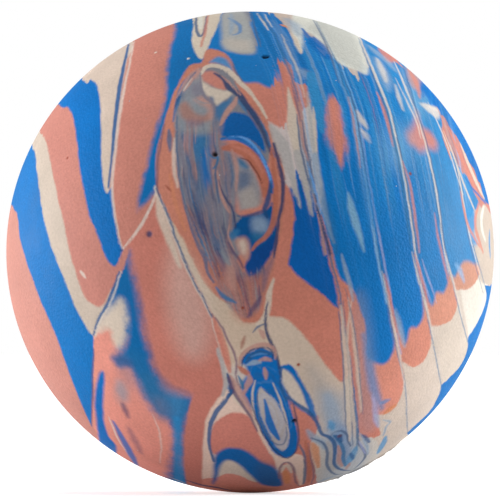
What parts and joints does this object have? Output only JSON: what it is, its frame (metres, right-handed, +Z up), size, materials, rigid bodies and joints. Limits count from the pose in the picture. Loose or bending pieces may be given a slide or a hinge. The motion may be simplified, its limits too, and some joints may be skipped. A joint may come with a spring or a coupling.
{
  "type": "bouncy ball",
  "caption": "Solid high-bounce ball pressed and cured in one body from folded, swirled strips of blue, salmon and cream rubber, with a torn edge of moulding flash.",
  "frame": {"origin": "centre of the ball", "axes": "+Z up as in the picture, +X to the picture's right, +Y away from the camera, so the swirl looks along -Y"},
  "size_m": [0.049, 0.049, 0.049],
  "materials": {
    "blue_rubber": "matte",
    "salmon_rubber": "matte",
    "cream_rubber": "matte",
    "grey_rubber": "matte"
  },
  "bodies": {
    "root": {"swirl_blue_cap": "blue_rubber", "swirl_curl": "salmon_rubber", "swirl_blue_patch": "blue_rubber", "swirl_grey": "grey_rubber", "swirl_ring": "salmon_rubber", "lower_swirl_core": "cream_rubber", "lower_swirl": "blue_rubber", "blue_leaf": "blue_rubber", "blue_outer_strip": "blue_rubber", "cream_outer_strip": "cream_rubber", "salmon_middle_strip": "salmon_rubber", "blue_middle_strip": "blue_rubber", "cream_hook": "cream_rubber", "grey_crown_patch": "grey_rubber", "blue_crown_patch": "blue_rubber", "salmon_crown_wedge": "salmon_rubber", "blue_crown_strip": "blue_rubber", "salmon_upper_strip": "salmon_rubber", "cream_wedge_strip": "cream_rubber", "cream_ribbon": "cream_rubber", "blue_dart": "blue_rubber", "salmon_seam_strip": "salmon_rubber", "salmon_lobe_right": "salmon_rubber", "salmon_spot": "salmon_rubber", "blue_feather_1": "blue_rubber", "blue_feather_2": "blue_rubber", "blue_feather_3": "blue_rubber", "blue_feather_4": "blue_rubber", "salmon_scallop_1": "salmon_rubber", "salmon_scallop_2": "salmon_rubber", "salmon_scallop_3": "salmon_rubber", "salmon_scallop_4": "salmon_rubber", "cream_scallop_1": "cream_rubber", "cream_scallop_2": "cream_rubber", "cream_scallop_3": "cream_rubber", "cream_scallop_4": "cream_rubber", "blue_arch": "blue_rubber", "salmon_lobe_bottom": "salmon_rubber", "salmon_bottom_strip": "salmon_rubber", "cream_under_arch": "cream_rubber", "cream_collar": "cream_rubber", "salmon_slip": "salmon_rubber", "cream_band_right": "cream_rubber", "cream_folds_strip": "cream_rubber", "cream_neck": "cream_rubber", "blue_tongue": "blue_rubber", "salmon_lobe_left": "salmon_rubber", "cream_patch_left": "cream_rubber", "blue_sliver_left": "blue_rubber", "salmon_base_left": "salmon_rubber", "salmon_rim_strip": "salmon_rubber", "moulding_flash": "cream_rubber"}
  },
  "joints": []
}
